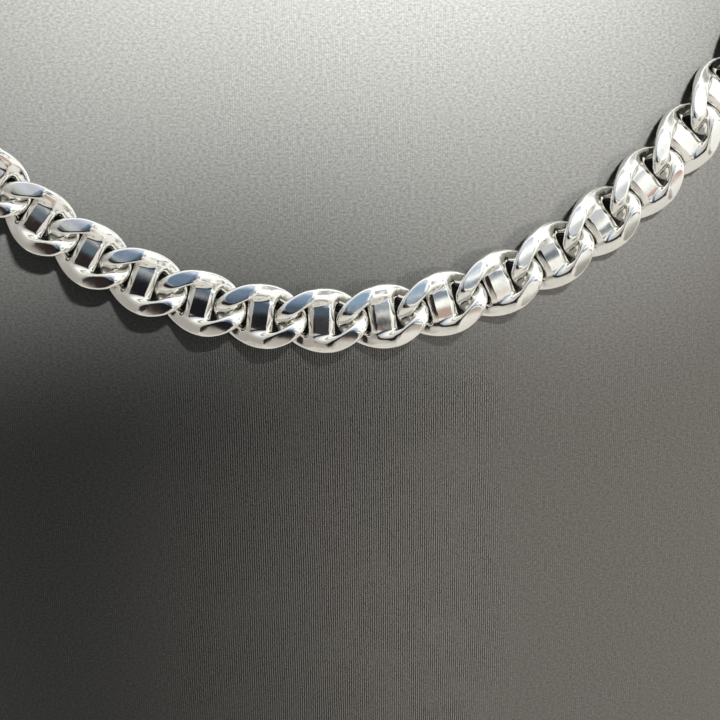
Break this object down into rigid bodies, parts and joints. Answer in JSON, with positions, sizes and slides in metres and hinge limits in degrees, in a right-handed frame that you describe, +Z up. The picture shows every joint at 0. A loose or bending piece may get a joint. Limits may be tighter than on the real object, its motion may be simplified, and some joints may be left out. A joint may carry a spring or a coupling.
{
  "type": "cuban link chain on a neck bust",
  "caption": "Polished silver cuban link chain with flat filed links and crossbars, lying in a loop on a plain grey neck bust.",
  "frame": {"origin": "middle of the bust's flat base, on the surface it stands on", "axes": "+Z up along the neck, the chest and the front of the chain face -Y, +X towards the right of a viewer in front"},
  "size_m": [0.2158, 0.1282, 0.25],
  "materials": {
    "grey_cloth": "fine ribbed grey cloth covering",
    "silver": "polished sterling silver"
  },
  "bodies": {
    "root": {"neck_bust": "grey_cloth", "links_left": "silver", "links_right": "silver", "box_clasp": "silver"}
  },
  "joints": []
}
